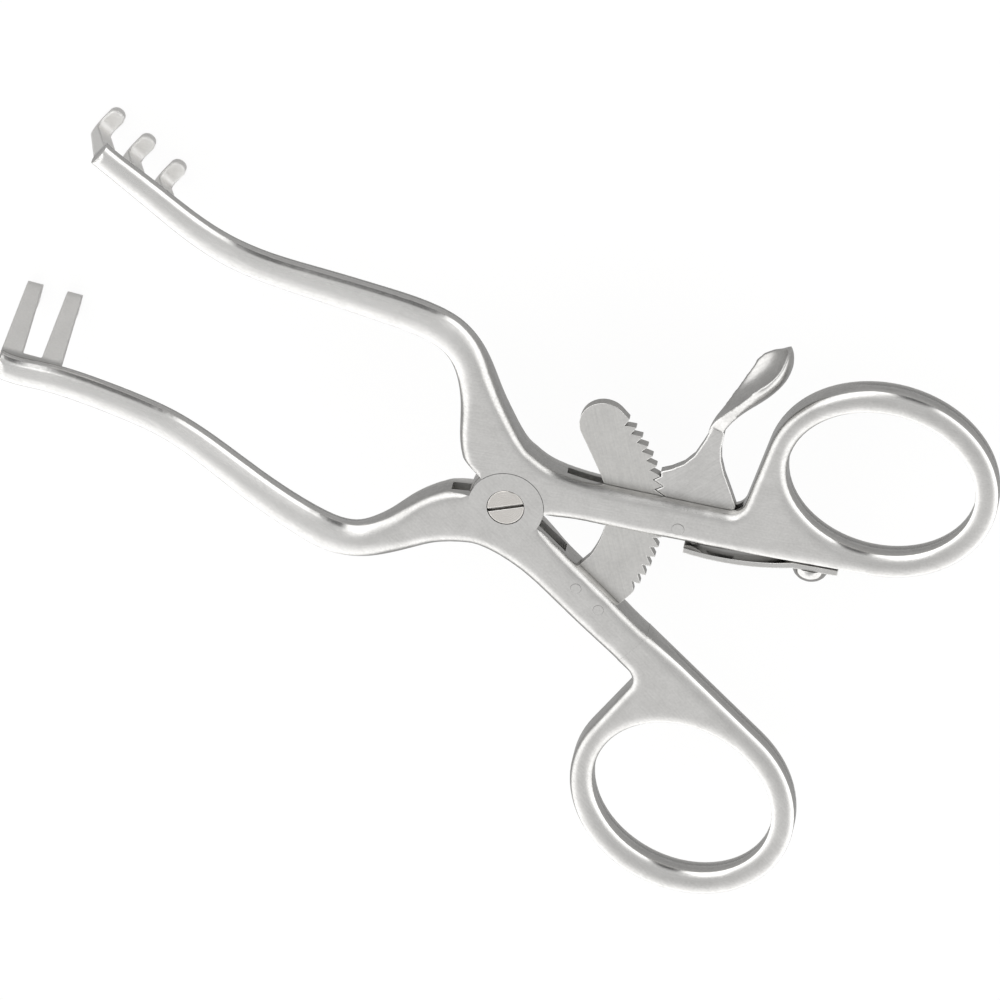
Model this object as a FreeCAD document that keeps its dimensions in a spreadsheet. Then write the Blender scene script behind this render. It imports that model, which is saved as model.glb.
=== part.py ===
import FreeCAD
import Part

import math
import os

# Self retaining retractor: two crossing-free levers on a forked joint, one with three prongs
# and one with two, held open by a curved ratchet bar and a sprung release lever.
# The joint's axis is Z through the origin, the under face lies on Z = 0, the finger rings
# lie toward +X, the three-prong side lies toward +Y and the prongs reach down to -Z.

Vector = FreeCAD.Vector
UP = Vector(0, 0, 1)

# Driving dimensions in millimetres and degrees. Each goes into the sheet under its own name.
SIZES = {
    "lever_thickness": 4.2,
    "edge_round": 1.0,
    "running_gap": 0.05,
    "heel_step": 0.03,
    "heel_overlap": 1.2,
    # forked joint
    "disc_radius": 4.2,
    "face_drop": 0.03,
    "cheek_thickness": 1.25,
    "tongue_radius": 4.3,
    "three_stop_angle": 159.5,
    "three_stop_x": -6.7,
    "three_stop_y": 2.9,
    "two_stop_angle": 156.8,
    "two_stop_x": -7.03,
    "two_stop_y": 1.97,
    "stop_cut_reach": 9.0,
    "fork_slot_reach_arm": 6.2,
    "fork_slot_reach_handle": 8.6,
    "fork_slot_depth": 1.4,
    "screw_head_radius": 2.1,
    "screw_shank_radius": 1.35,
    "screw_slot_width": 0.4,
    "screw_slot_depth": 0.6,
    "screw_slot_angle": 38.0,
    # finger rings
    "ring_outer_long": 13.05,
    "ring_outer_short": 11.3,
    "ring_rim": 2.55,
    "ring_crotch_round": 1.8,
    "three_ring_x": 34.9,
    "three_ring_y": 22.9,
    "three_ring_turn": 12.5,
    "three_ring_flank": 97.0,
    "two_ring_x": 33.2,
    "two_ring_y": 23.1,
    "two_ring_turn": 8.6,
    "two_ring_flank": 103.0,
    # prongs
    "prong_pitch": 4.5,
    "prong_depth": 13.2,
    "prong_lean": 4.3,
    "prong_thickness": 1.1,
    "prong_root_thickness": 1.8,
    "prong_bend_radius": 1.3,
    "prong_hook": 3.6,
    "prong_slant": 0.5,
    "prong_slot_top": 0.8,
    "prong_slot_round": 0.2,
    "three_prong_reach": 59.2,
    "three_prong_angle": 164.8,
    "three_prong_width": 1.9,
    "two_prong_reach": 56.95,
    "two_prong_angle": 166.9,
    "two_prong_width": 2.35,
    "two_prong_tip_width": 1.55,
    # ratchet bar and its seat
    "bar_thickness": 1.15,
    "tooth_tip_radius": 17.4,
    "tooth_root_radius": 16.5,
    "tooth_pitch": 4.2,
    "tooth_count": 19,
    "first_tooth_angle": 65.6,
    "tooth_face_lean": 1.2,
    "tooth_land": 0.3,
    "bar_inner_radius": 11.1,
    "bar_inner_start": 49.0,
    "nose_x": 5.1,
    "nose_y": 13.8,
    "nose_radius": 2.7,
    "tang_start": 10.9,
    "tang_end": 17.25,
    "tang_depth": 3.0,
    "seat_gap": 0.02,
    "rivet_radius": 0.6,
    # release lever
    "lever_slot_start": 5.9,
    "lever_slot_end": 25.5,
    "lever_slot_gap": 0.06,
    "lever_slot_half_height": 3.6,
    "pawl_gap": 0.1,
    "pawl_teeth": 2,
    "pawl_first_tooth": 6,
    "release_pin_x": 17.8,
    "release_pin_y": 7.1,
    "release_pin_radius": 0.7,
    "thumb_back_span_share": 1.14,
    "thumb_back_cup_share": 1.28,
    # leaf spring
    "spring_thickness": 0.6,
    "spring_width": 3.5,
    "spring_bow": 0.85,
    "spring_free_end": 20.0,
    "spring_fixed_end": 37.2,
    "spring_seat_start": 32.2,
    "spring_tip_gap": 0.52,
    "spring_contact_gap": 0.02,
    "spring_screw_along": 34.1,
    "spring_screw_head_radius": 2.0,
    "spring_screw_head_height": 1.9,
    "spring_screw_rim": 0.35,
    "spring_screw_shank_radius": 0.8,
    "spring_screw_length": 2.6,
}

# Cross sections along each lever's middle line, from the prongs to the ring: name, place
# along and across (across is positive on both, because the lower one is mirrored), width,
# thickness as a share lost from the full thickness, and edge rounding.
STATIONS = {
    "three": [
        ("end", -58.05, 15.8, 2.7, 1.5, 1.2),
        ("claw", -53.8, 14.75, 2.75, 1.45, 1.25),
        ("palm", -49.0, 13.6, 2.9, 1.25, 1.35),
        ("hand", -44.5, 12.6, 3.0, 1.1, 1.4),
        ("wrist", -40.0, 12.15, 3.1, 0.9, 1.45),
        ("forearm", -35.5, 12.45, 3.2, 0.75, 1.5),
        ("middle", -29.5, 13.5, 3.45, 0.55, 1.6),
        ("upper", -22.5, 14.75, 3.7, 0.35, 1.7),
        ("shoulder", -17.5, 15.4, 3.8, 0.2, 1.78),
        ("bend", -14.3, 15.15, 3.85, 0.1, 1.82),
        ("wedge", -11.9, 14.0, 3.9, 0.0, 1.84),
        ("neck", -9.9, 12.2, 4.1, 0.0, 1.65),
        ("throat", -8.25, 10.2, 4.6, 0.0, 1.45),
        ("flare", -6.7, 8.15, 5.6, 0.0, 1.25),
        ("cheek", -5.0, 6.0, 6.7, 0.0, 1.1),
        ("hip", -3.0, 4.2, 7.3, 0.0, 1.0),
        ("crown", -0.2, 3.15, 7.5, 0.0, 1.0),
        ("root", 3.0, 3.5, 6.1, 0.0, 1.0),
        ("start", 6.0, 4.3, 5.0, 0.0, 1.0),
        ("grip", 9.5, 5.25, 4.65, 0.0, 1.0),
        ("shaft", 15.0, 6.9, 4.6, 0.0, 1.0),
        ("heel", 20.5, 8.55, 4.6, 0.0, 1.0),
    ],
    "two": [
        ("end", -56.45, 13.1, 3.0, 1.4, 1.3),
        ("claw", -51.5, 12.1, 3.1, 1.3, 1.35),
        ("hand", -46.1, 11.1, 3.15, 1.15, 1.4),
        ("wrist", -41.3, 10.6, 3.15, 1.0, 1.45),
        ("forearm", -36.4, 10.5, 3.15, 0.8, 1.48),
        ("middle", -31.0, 11.3, 3.25, 0.6, 1.5),
        ("upper", -24.6, 12.65, 3.45, 0.4, 1.6),
        ("shoulder", -18.5, 13.5, 3.65, 0.2, 1.7),
        ("bend", -14.5, 13.45, 3.85, 0.1, 1.8),
        ("wedge", -11.9, 12.4, 3.9, 0.0, 1.84),
        ("neck", -10.1, 10.8, 4.15, 0.0, 1.65),
        ("throat", -8.6, 8.95, 4.6, 0.0, 1.45),
        ("flare", -7.1, 6.8, 5.4, 0.0, 1.25),
        ("cheek", -5.2, 4.8, 6.3, 0.0, 1.1),
        ("hip", -2.8, 3.15, 6.9, 0.0, 1.0),
        ("crown", 0.35, 2.55, 6.9, 0.0, 1.0),
        ("root", 3.35, 3.12, 6.15, 0.0, 1.0),
        ("start", 6.25, 4.12, 5.2, 0.0, 1.0),
        ("grip", 9.85, 5.4, 4.9, 0.0, 1.0),
        ("shaft", 15.05, 7.23, 4.85, 0.0, 1.0),
        ("heel", 20.03, 8.95, 4.75, 0.0, 1.0),
    ],
}
STATION_FIELDS = ("x", "y", "width", "thinning", "round")

# The release lever's plate outline above its pawl, from the pin round to the pawl again.
PLATE_FOOT = [(16.15, 7.7), (16.45, 6.6), (17.0, 5.85), (17.9, 5.55), (19.3, 5.5), (20.2, 5.42)]
PLATE_HEEL = [(21.0, 5.9), (22.5, 7.4), (23.3, 9.0), (22.75, 10.7)]
PLATE_RIGHT = [(22.2, 12.1), (20.8, 13.55), (19.45, 14.9), (18.35, 16.3), (17.7, 17.6), (17.2, 19.5)]
PLATE_LEFT = [(15.75, 19.5), (15.7, 17.4), (15.55, 15.4), (15.0, 13.9), (13.95, 12.6)]

# The thumb pad's cross sections from its neck to its tip: the middle of the hollow's outside,
# span, wall and depth of the hollow.
THUMB_SECTIONS = [
    ("neck", 17.0, 18.2, 0.9, 1.25, 0.02),
    ("throat", 17.15, 20.6, 1.8, 1.45, 0.05),
    ("root", 17.7, 22.4, 3.8, 1.2, 0.45),
    ("low", 18.65, 24.4, 6.0, 0.95, 1.25),
    ("middle", 19.55, 26.3, 7.3, 0.85, 1.7),
    ("high", 20.15, 28.2, 7.6, 0.8, 1.65),
    ("upper", 20.3, 29.9, 6.6, 0.75, 1.25),
    ("brow", 19.8, 31.5, 4.7, 0.65, 0.75),
    ("tip", 19.0, 32.3, 1.3, 0.5, 0.08),
]
THUMB_FIELDS = ("x", "y", "span", "wall", "cup")

doc = FreeCAD.newDocument("retractor")
sheet = doc.addObject("Spreadsheet::Sheet", "sizes")


def fill_sheet():
    """Write every driving dimension into the sheet, one row each."""
    rows = dict(SIZES)
    for side, stations in STATIONS.items():
        for name, *values in stations:
            for field, value in zip(STATION_FIELDS, values):
                rows[f"{side}_{name}_{field}"] = value
    for name, *values in THUMB_SECTIONS:
        for field, value in zip(THUMB_FIELDS, values):
            rows[f"thumb_{name}_{field}"] = value
    for number, (alias, value) in enumerate(rows.items(), start=1):
        sheet.set(f"A{number}", alias)
        sheet.set(f"B{number}", str(value))
        sheet.setAlias(f"B{number}", alias)
    doc.recompute()


def size(alias):
    """A driving dimension, read from the sheet."""
    return float(sheet.get(alias))


def polar(radius, degrees, height=0.0):
    """A point at this radius and angle about the joint's axis."""
    turn = math.radians(degrees)
    return Vector(radius * math.cos(turn), radius * math.sin(turn), height)


def bind(thing, **expressions):
    """Tie an object's properties to the sheet."""
    for name, expression in expressions.items():
        thing.setExpression(name.replace("__", "."), expression)
    return thing


def cylinder(name, radius, height, base_z, base_x="0", base_y="0"):
    """A cylinder along Z whose sizes and place are expressions on the sheet."""
    made = doc.addObject("Part::Cylinder", name)
    bind(made, Radius=radius, Height=height)
    bind(made, Placement__Base__x=base_x, Placement__Base__y=base_y, Placement__Base__z=base_z)
    return made


def boolean(kind, name, *parts):
    """A cut, fuse or common of document objects."""
    if kind == "Part::Cut":
        made = doc.addObject(kind, name)
        made.Base = parts[0]
        made.Tool = parts[1]
        return made
    made = doc.addObject(kind, name)
    made.Shapes = list(parts)
    return made


def feature(name, shape):
    """A document object that holds a shape made by Part's own functions."""
    made = doc.addObject("Part::Feature", name)
    made.Shape = shape
    return made


def polygon(points, height, base_z=0.0):
    """A prism on a closed outline."""
    corners = [Vector(p.x, p.y, base_z) for p in points]
    face = Part.Face(Part.makePolygon(corners + corners[:1]))
    return face.extrude(UP * height)


def closed_lines(points):
    """The straight lines of a closed outline through these points."""
    count = len(points)
    return [Part.LineSegment(points[i], points[(i + 1) % count]) for i in range(count)]


def rounded_outline(corners):
    """A closed wire through corners given as (point, rounding), each rounding a tangent arc."""
    edges = []
    ends = []
    count = len(corners)
    for index, (corner, radius) in enumerate(corners):
        back = (corners[index - 1][0] - corner).normalize()
        ahead = (corners[(index + 1) % count][0] - corner).normalize()
        if radius <= 0:
            ends.append((corner, corner, None))
            continue
        half = back.getAngle(ahead) / 2
        reach = radius / math.tan(half)
        middle = (back + ahead).normalize()
        crest = corner + middle * (radius / math.sin(half) - radius)
        ends.append((corner + back * reach, corner + ahead * reach, crest))
    for index, (first, last, crest) in enumerate(ends):
        if crest is not None:
            edges.append(Part.Arc(first, crest, last).toShape())
        following = ends[(index + 1) % count][0]
        if last.distanceToPoint(following) > 1e-6:
            edges.append(Part.LineSegment(last, following).toShape())
    return Part.Wire(edges)


def section(centre, across, width, depth, rounding):
    """A rounded rectangle that stands on the lever's middle line."""
    half_width = width / 2
    half_depth = depth / 2
    flat = half_width - rounding
    wall = half_depth - rounding
    bevel = rounding * math.sqrt(0.5)

    def at(u, w):
        return centre + across * u + UP * w

    edges = []
    for side_u, side_w in ((1, -1), (1, 1), (-1, 1), (-1, -1)):
        along_flat = at(side_u * flat, side_w * half_depth)
        along_wall = at(side_u * half_width, side_w * wall)
        crest = at(side_u * (flat + bevel), side_w * (wall + bevel))
        turned = side_u * side_w < 0
        first, last = (along_flat, along_wall) if turned else (along_wall, along_flat)
        edges.append((first, crest, last))
    wire = []
    for index, (first, crest, last) in enumerate(edges):
        wire.append(Part.Arc(first, crest, last).toShape())
        wire.append(Part.LineSegment(last, edges[(index + 1) % 4][0]).toShape())
    return Part.Wire(wire)


def lever_line(side):
    """Each station of a lever as (middle, direction across, width, depth, rounding)."""
    thickness = size("lever_thickness")
    rows = []
    for name, *_ in STATIONS[side]:
        rows.append([size(f"{side}_{name}_{field}") for field in STATION_FIELDS])
    middles = [Vector(row[0], row[1], thickness / 2) for row in rows]
    curve = Part.BSplineCurve()
    curve.interpolate(middles)
    placed = []
    for index, (middle, row) in enumerate(zip(middles, rows)):
        along = curve.tangent(curve.parameter(middle))[0]
        if index >= len(rows) - 2:
            along = (middles[-1] - middles[-2]).normalize()
        across = UP.cross(along).normalize()
        depth = thickness - 2 * size("face_drop") - row[3]
        placed.append((middle, across, row[2], depth, row[4]))
    return placed


def lever_shaft(side):
    """Arm, joint flank and handle in one smooth body."""
    stations = lever_line(side)
    sections = [section(*station) for station in stations[:-1]]
    heel, across, width, depth, rounding = stations[-1]
    step = size("heel_step")
    inside = heel + across.cross(UP) * size("heel_overlap")
    for centre in (heel, inside):
        sections.append(section(centre, across, width - 2 * step, depth - 2 * step, rounding - step))
    return Part.makeLoft(sections, True, False)


def ring_entry(side):
    """Both sides of the handle's end, and where its outer side runs into the finger ring."""
    heel, across, width, _, _ = lever_line(side)[-1]
    heel = Vector(heel.x, heel.y, 0)
    low = heel - across * (width / 2)
    high = heel + across * (width / 2)
    centre = Vector(size(f"{side}_ring_x"), size(f"{side}_ring_y"), 0)
    turn = math.radians(size(f"{side}_ring_turn"))
    long_axis = Vector(math.cos(turn), math.sin(turn), 0)
    short_axis = UP.cross(long_axis)
    far = size("ring_outer_long")
    near = size("ring_outer_short")
    # the tangent point is worked out on the unit circle
    to_low = low - centre
    u = to_low.dot(long_axis) / far
    w = to_low.dot(short_axis) / near
    enter = math.atan2(w, u) + math.acos(1 / math.hypot(u, w))
    point = centre + long_axis * (far * math.cos(enter)) + short_axis * (near * math.sin(enter))
    return low, point, high, centre, enter


def ring_blank(side):
    """The finger ring and the web that ties it to the handle."""
    thickness = size("lever_thickness") - 2 * size("face_drop")
    rounding = size("edge_round")
    low, enter_point, high, centre, enter = ring_entry(side)
    heel, across, width, _, _ = lever_line(side)[-1]
    along = across.cross(UP)
    heel = Vector(heel.x, heel.y, 0)
    turn = math.radians(size(f"{side}_ring_turn"))
    long_axis = Vector(math.cos(turn), math.sin(turn), 0)
    short_axis = UP.cross(long_axis)
    far = size("ring_outer_long")
    near = size("ring_outer_short")
    rim = size("ring_rim")
    # where the straight flank leaves the ring again
    flank = math.radians(size(f"{side}_ring_flank"))
    heading = Vector(math.cos(flank), math.sin(flank), 0)
    leave = math.atan2(-near * heading.dot(long_axis), far * heading.dot(short_axis)) + math.pi

    def on_ring(angle):
        return centre + long_axis * (far * math.cos(angle)) + short_axis * (near * math.sin(angle))

    while leave < enter:
        leave += 2 * math.pi
    leave_point = on_ring(leave)
    # the flank meets the handle's upper side in a hollow corner with a tangent arc
    gap = high - leave_point
    reach = (gap.x * along.y - gap.y * along.x) / (heading.x * along.y - heading.y * along.x)
    corner = leave_point + heading * reach
    back = (leave_point - corner).normalize()
    ahead = (high - corner).normalize()
    half = back.getAngle(ahead) / 2
    crotch = size("ring_crotch_round")
    tangent_reach = crotch / math.tan(half)
    crest = corner + (back + ahead).normalize() * (crotch / math.sin(half) - crotch)
    oval = Part.Ellipse(centre + long_axis * far, centre + short_axis * near, centre)
    edges = [
        Part.LineSegment(low, enter_point).toShape(),
        Part.Arc(oval, enter, leave).toShape(),
        Part.LineSegment(leave_point, corner + back * tangent_reach).toShape(),
        Part.Arc(corner + back * tangent_reach, crest, corner + ahead * tangent_reach).toShape(),
        Part.LineSegment(corner + ahead * tangent_reach, high).toShape(),
        Part.LineSegment(high, low).toShape(),
    ]
    opening = Part.Ellipse(centre + long_axis * (far - rim), centre + short_axis * (near - rim), centre)
    face = Part.Face([Part.Wire(edges), Part.Wire([opening.toShape()])])
    face.validate()
    blank = face.extrude(UP * thickness)
    blank.translate(UP * size("face_drop"))

    def rounded(edge):
        flat = edge.BoundBox.ZLength < 1e-6
        level = edge.BoundBox.ZMax - size("face_drop")
        rim_edge = level < 1e-6 or level > thickness - 1e-6
        middle = edge.valueAt((edge.FirstParameter + edge.LastParameter) / 2)
        on_heel = abs((middle - heel).dot(along)) < 1e-6
        return flat and rim_edge and not on_heel

    return blank.makeFillet(rounding, [edge for edge in blank.Edges if rounded(edge)])


def prong_comb(side, count, width, tip_width):
    """Bent plates side by side: a leg that leans inward and a tongue that hooks outward."""
    thickness = size("lever_thickness")
    thin = size("prong_thickness")
    root = size("prong_root_thickness")
    depth = size("prong_depth")
    lean = size("prong_lean")
    hook = size("prong_hook")
    pitch = size("prong_pitch")
    bend = size("prong_bend_radius")
    outer = size(f"{side}_prong_reach") + width / 2
    inner = size(f"{side}_prong_reach") - (count - 1) * pitch - width / 2
    angle = size(f"{side}_prong_angle")
    away = polar(1, angle)
    # toward the other jaw, which is below in the mirrored frame
    inward = Vector(-away.y, away.x, 0)
    start = away * inner + UP * (thickness / 2)
    # the leg's middle line, then the tongue's, in the plane across the arm
    slope = Vector(0, 0, 0) + inward * lean - UP * depth
    leg = slope.normalize()
    side_way = inward * depth + UP * lean
    side_way = side_way.normalize()
    foot = start + leg * math.hypot(lean, depth)
    outward = inward * -1
    heel_angle = math.acos(leg.dot(outward))
    miter = (thin / 2) / math.tan(heel_angle / 2)
    corners = [
        (start - side_way * (root / 2), 0),
        (foot - side_way * (thin / 2) - leg * miter, max(bend - thin / 2, 0.2)),
        (foot + outward * hook + UP * (thin / 2), 0),
        (foot + outward * hook - UP * (thin / 2), 0),
        (foot + side_way * (thin / 2) + leg * miter, bend + thin / 2),
        (start + side_way * (root / 2), 0),
    ]
    comb = Part.Face(rounded_outline(corners)).extrude(away * (outer - inner))
    # the whole comb leans a little toward the joint as it goes down
    slant = FreeCAD.Matrix()
    share = size("prong_slant") / depth
    slant.A13 = away.x * share
    slant.A23 = away.y * share
    slant.A14 = -away.x * share * thickness / 2
    slant.A24 = -away.y * share * thickness / 2
    # slots between the prongs, wider toward the tips where the prongs narrow
    flare = (width - tip_width) / 2
    floor = thickness / 2 - size("prong_depth") - size("prong_thickness")
    top = size("prong_slot_top")
    corner = size("prong_slot_round")
    for number in range(count - 1):
        middle = inner + width / 2 + pitch * (number + 0.5)
        half = (pitch - width) / 2
        ends = [
            (away * (middle - half) + UP * top, corner),
            (away * (middle + half) + UP * top, corner),
            (away * (middle + half + flare) + UP * (floor - 1), 0),
            (away * (middle - half - flare) + UP * (floor - 1), 0),
        ]
        slot = Part.Face(rounded_outline(ends)).extrude(inward * 40)
        slot.translate(inward * -20)
        comb = comb.cut(slot)
    if flare > 0:
        for edge_reach, way in ((inner, -1), (outer, 1)):
            shaved = Part.Face(
                Part.makePolygon(
                    [
                        away * edge_reach + UP * top,
                        away * (edge_reach - way * flare) + UP * (floor - 1),
                        away * (edge_reach + way * 2) + UP * (floor - 1),
                        away * (edge_reach + way * 2) + UP * top,
                        away * edge_reach + UP * top,
                    ]
                )
            ).extrude(inward * 40)
            shaved.translate(inward * -20)
            comb = comb.cut(shaved)
    # blunt ends: round the two corners of every tongue in its own plane
    tip_at = (foot + outward * hook).dot(inward)
    tips = []
    for edge in comb.Edges:
        ends = [vertex.Point for vertex in edge.Vertexes]
        upright = len(ends) == 2 and abs(ends[0].z - ends[1].z) > thin * 0.9
        if upright and all(abs(point.dot(inward) - tip_at) < 1e-3 for point in ends):
            tips.append(edge)
    return comb.makeFillet(tip_width * 0.45, tips).transformGeometry(slant)


def stop_wedge(side):
    """What is cut from a lever's inner side so that the other lever has room to turn."""
    reach = size("stop_cut_reach") + 3
    stop = Vector(size(f"{side}_stop_x"), size(f"{side}_stop_y"), 0)
    stop_way = polar(1, size(f"{side}_stop_angle"))
    heel, across, width, _, _ = lever_line(side)[-3]
    along = across.cross(UP)
    edge = heel - across * (width / 2 + 0.08)
    near = edge - along * (edge.dot(along) - 4.0)
    far = edge - along * (edge.dot(along) - size("stop_cut_reach"))
    start = polar(size("disc_radius") - 0.4, 20.0)
    outline = [
        stop - stop_way * (stop.x / stop_way.x),
        stop + stop_way * reach,
        Vector(-2 * reach, -reach, 0),
        Vector(far.x, -reach, 0),
        Vector(far.x, far.y, 0),
        Vector(near.x, near.y, 0),
        start,
    ]
    thickness = size("lever_thickness")
    return polygon(outline, thickness + 2, -1)


def mirrored(shape):
    """The lower lever's shape from one that was laid out on the upper side."""
    return shape.mirror(Vector(0, 0, 0), Vector(0, 1, 0))


def lever_forging(side, prongs):
    """A whole lever before its joint is machined."""
    width = size(f"{side}_prong_width")
    tip_width = size("two_prong_tip_width") if side == "two" else width
    trimmed = lever_shaft(side).cut(stop_wedge(side))
    body = trimmed.fuse([ring_blank(side), prong_comb(side, prongs, width, tip_width)])
    return mirrored(body) if side == "two" else body


def origin_plane(body, role):
    """One of a body's own origin planes or axes."""
    return next(item for item in body.Origin.OriginFeatures if item.Role == role)


def sketch_on(body, name, role="XY_Plane", height=None):
    """A sketch on one of its body's own planes, raised by an expression."""
    made = body.newObject("Sketcher::SketchObject", name)
    made.AttachmentSupport = [(origin_plane(body, role), "")]
    made.MapMode = "FlatFace"
    if height:
        made.setExpression("AttachmentOffset.Base.z", height)
    return made


def handle_frame(side):
    """A point on the handle's middle line, its direction and the way across it."""
    heel, across, width, _, _ = lever_line(side)[-1]
    along = across.cross(UP)
    base = Vector(heel.x, heel.y, 0) - along * Vector(heel.x, heel.y, 0).dot(along)
    if side == "two":
        base = Vector(base.x, -base.y, 0)
        along = Vector(along.x, -along.y, 0)
        across = Vector(-across.x, across.y, 0)
    return base, along, across, width


def two_handle_inner_side():
    """The lower handle's inner side: a point on it, the way along it and the way outward."""
    base, along, across, width = handle_frame("two")
    return base + across * (width / 2), along, across


def ratchet_outline():
    """The bar's outline with a plain outer arc, before its teeth are cut."""
    inner = size("bar_inner_radius")
    outer = size("tooth_tip_radius")
    nose = Vector(size("nose_x"), size("nose_y"), 0)
    nose_radius = size("nose_radius")
    inner_start = polar(inner, size("bar_inner_start"))
    side_point, along, across = two_handle_inner_side()
    depth = size("tang_depth")
    tang_in = side_point + along * size("tang_start") - across * depth
    tang_out = side_point + along * size("tang_end") - across * depth

    def meets(radius, point, way):
        """Where a line from a point along way crosses a circle about the joint's axis."""
        along_way = point.dot(way)
        off = point.dot(point) - radius * radius
        return point + way * (-along_way + math.sqrt(along_way * along_way - off))

    inner_end = meets(inner, tang_in, across)
    outer_start = meets(outer, tang_out, across)
    first_tip = polar(outer, size("first_tooth_angle") + 0.3)
    # straight lines that leave the nose's arc as tangents
    def tangent_from(point, turn):
        gap = point - nose
        angle = math.atan2(gap.y, gap.x) + turn * math.acos(nose_radius / gap.Length)
        return nose + Vector(math.cos(angle), math.sin(angle), 0) * nose_radius

    top = tangent_from(first_tip, 1)
    under = tangent_from(inner_start, -1)
    crest = nose + ((top + under) * 0.5 - nose).normalize() * nose_radius
    half_inner = (math.degrees(math.atan2(inner_end.y, inner_end.x)) + size("bar_inner_start")) / 2
    outer_angle = math.degrees(math.atan2(outer_start.y, outer_start.x))
    half_outer = (outer_angle + size("first_tooth_angle")) / 2
    return [
        Part.LineSegment(tang_in, inner_end),
        Part.Arc(inner_end, polar(inner, half_inner), inner_start),
        Part.LineSegment(inner_start, under),
        Part.Arc(under, crest, top),
        Part.LineSegment(top, first_tip),
        Part.Arc(first_tip, polar(outer, half_outer), outer_start),
        Part.LineSegment(outer_start, tang_out),
        Part.LineSegment(tang_out, tang_in),
    ]


def tooth_gullet(number, swell=0.0):
    """The corners of one gap between teeth: upper tip, root and lower tip."""
    pitch = size("tooth_pitch")
    tip = size("first_tooth_angle") - pitch * number
    land = size("tooth_land")
    outer = size("tooth_tip_radius")
    return [
        polar(outer + swell, tip - land),
        polar(size("tooth_root_radius") + swell, tip - size("tooth_face_lean")),
        polar(outer + swell, tip - pitch),
    ]


def make_ratchet_bar():
    """A toothed arc: one gap between teeth is cut and then repeated about the joint's axis."""
    body = doc.addObject("PartDesign::Body", "ratchet_bar")
    blank = sketch_on(body, "bar_outline", height="sizes.lever_thickness / 2")
    blank.addGeometry(ratchet_outline(), False)
    pad = body.newObject("PartDesign::Pad", "bar_blank")
    pad.Profile = blank
    pad.Midplane = True
    bind(pad, Length="sizes.bar_thickness")
    doc.recompute()
    plain = pad.Shape.Volume
    bores = sketch_on(body, "rivet_circles", height="sizes.lever_thickness / 2")
    for place in rivet_places():
        bores.addGeometry(Part.Circle(place, UP, size("rivet_radius")), False)
    bored = body.newObject("PartDesign::Pocket", "rivet_bores")
    bored.Profile = bores
    bored.Type = "ThroughAll"
    bored.Midplane = True
    gap = sketch_on(body, "tooth_gap", height="sizes.lever_thickness / 2")
    upper, root, lower = tooth_gullet(0)
    relief = 1.0
    beyond = [tip + tip * (relief / tip.Length) for tip in (lower, upper)]
    outside = [upper, root, lower, *beyond]
    gap.addGeometry(closed_lines(outside), False)
    cut = body.newObject("PartDesign::Pocket", "tooth_gap_cut")
    cut.Profile = gap
    cut.Type = "ThroughAll"
    cut.Midplane = True
    doc.recompute()
    pattern = body.newObject("PartDesign::PolarPattern", "tooth_row")
    pattern.Originals = [cut]
    pattern.Axis = (origin_plane(body, "Z_Axis"), [""])
    pattern.Reversed = True
    bind(pattern, Angle="sizes.tooth_pitch * (sizes.tooth_count - 2)", Occurrences="sizes.tooth_count - 1")
    body.Tip = pattern
    doc.recompute()
    if plain - body.Shape.Volume < 1.0:
        raise SystemExit("ratchet_bar: its teeth were not cut")
    return body


def make_release_plate():
    """The release lever's flat plate: pawl teeth, neck and foot."""
    gap = size("pawl_gap")
    first = int(size("pawl_first_tooth"))
    teeth = int(size("pawl_teeth"))
    outer = size("tooth_tip_radius") + gap
    pitch = size("tooth_pitch")
    first_tip = size("first_tooth_angle") - pitch * first
    points = [polar(outer + 0.1, first_tip + 1.6)]
    for number in range(first, first + teeth):
        upper, root, lower = tooth_gullet(number, gap)
        points += [upper, root]
    points.append(polar(outer, first_tip - pitch * teeth))
    points += [Vector(x, y, 0) for x, y in PLATE_FOOT + PLATE_HEEL + PLATE_RIGHT + PLATE_LEFT]
    pin = Vector(size("release_pin_x"), size("release_pin_y"), 0)
    bore_radius = size("release_pin_radius") + size("running_gap")
    body = doc.addObject("PartDesign::Body", "release_plate")
    outline = sketch_on(body, "release_outline", height="sizes.lever_thickness / 2")
    outline.addGeometry(closed_lines(points), False)
    pad = body.newObject("PartDesign::Pad", "release_blank")
    pad.Profile = outline
    pad.Midplane = True
    bind(pad, Length="sizes.bar_thickness")
    bore = sketch_on(body, "release_bore", height="sizes.lever_thickness / 2")
    bore.addGeometry(Part.Circle(pin, UP, bore_radius), False)
    hole = body.newObject("PartDesign::Pocket", "release_bore_cut")
    hole.Profile = bore
    hole.Type = "ThroughAll"
    hole.Midplane = True
    body.Tip = hole
    return body


def thumb_pad():
    """A spoon that stands across the plate's upper end, its hollow away from the ring."""
    middle = size("lever_thickness") / 2
    # the hollow turns a little toward the front, so its back rim reaches further
    back_span = size("thumb_back_span_share")
    back_cup = size("thumb_back_cup_share")
    rows = [[size(f"thumb_{name}_{field}") for field in THUMB_FIELDS] for name, *_ in THUMB_SECTIONS]
    centres = [Vector(row[0], row[1], middle) for row in rows]
    curve = Part.BSplineCurve()
    curve.interpolate(centres)
    sections = []
    for centre, (_, _, span, wall, cup) in zip(centres, rows):
        along = curve.tangent(curve.parameter(centre))[0]
        across = UP.cross(along).normalize()
        back = UP * (-span / 2 * back_span) + across * (cup * back_cup)
        front = UP * (span / 2) + across * cup
        outer = [centre + back, centre, centre + front]
        inner = [point + across * wall for point in outer]
        sections.append(
            Part.Wire(
                [
                    Part.Arc(*outer).toShape(),
                    Part.LineSegment(outer[2], inner[2]).toShape(),
                    Part.Arc(*reversed(inner)).toShape(),
                    Part.LineSegment(inner[0], outer[0]).toShape(),
                ]
            )
        )
    return Part.makeLoft(sections, True, False)


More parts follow.
